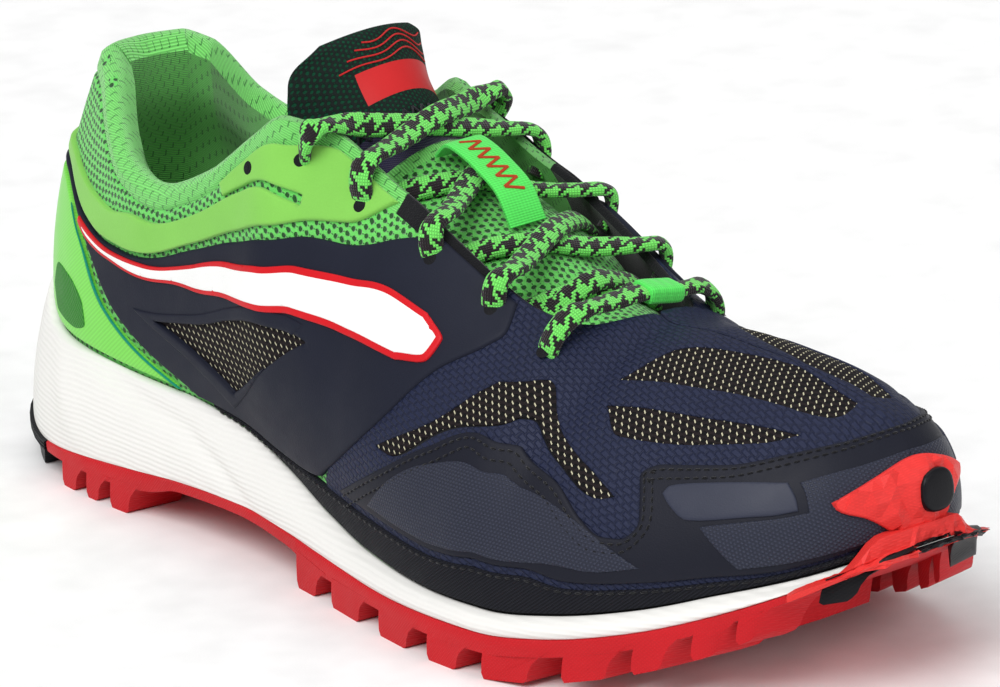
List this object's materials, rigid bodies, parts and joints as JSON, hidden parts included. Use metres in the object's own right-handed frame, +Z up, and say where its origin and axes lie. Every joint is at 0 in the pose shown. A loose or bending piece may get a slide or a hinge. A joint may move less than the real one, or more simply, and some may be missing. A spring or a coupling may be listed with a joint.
{
  "type": "trail running shoe",
  "caption": "Low-cut trail running shoe for the right foot: hollow padded upper, laced throat, cushioned midsole, lugged rubber outsole and raised toe bumper.",
  "frame": {"origin": "middle of the underside of the shoe's box, on the ground that the shoe stands on", "axes": "+X towards the toe, -Y towards the outer (lateral) side, +Y towards the inner (medial) side, +Z up"},
  "size_m": [0.291, 0.1062, 0.1191],
  "materials": {
    "upper_mesh": "woven mesh, matte",
    "tongue_fabric": "padded mesh, matte",
    "loop_webbing": "woven webbing",
    "counter_film": "smooth moulded film, satin",
    "lime_overlay": "brushed synthetic, matte",
    "navy_overlay": "fine grained synthetic, matte",
    "black_overlay": "fine grained synthetic, matte",
    "toe_overlay": "embossed synthetic, satin",
    "rand_twill": "coarse twill, matte",
    "stripe_film": "smooth printed film",
    "bumper_rubber": "faceted moulded rubber, satin",
    "black_rubber": "moulded rubber, satin",
    "midsole_foam": "moulded foam with fine lines, matte",
    "red_rubber": "textured rubber, satin",
    "insole_fabric": "brushed fabric, matte",
    "lace_cord": "braided, two colours"
  },
  "bodies": {
    "root": {"upper": "upper_mesh", "tongue": "tongue_fabric", "tongue_loop": "loop_webbing", "heel_counter": "counter_film", "collar_panel": "lime_overlay", "saddle_lateral": "navy_overlay", "saddle_medial": "navy_overlay", "eyestay_medial": "black_overlay", "mudguard": "toe_overlay", "rand": "rand_twill", "stripe_lateral": "stripe_film", "stripe_medial": "stripe_film", "toe_bumper": "bumper_rubber", "bumper_pad": "black_rubber", "midsole": "midsole_foam", "outsole": "red_rubber", "heel_pad": "black_rubber", "toe_lugs": "black_rubber", "insole": "insole_fabric", "lace_bar": "lace_cord", "lace_cross_0": "lace_cord", "lace_cross_1": "lace_cord", "lace_cross_2": "lace_cord", "lace_cross_3": "lace_cord", "lace_keeper": "loop_webbing"}
  },
  "joints": []
}
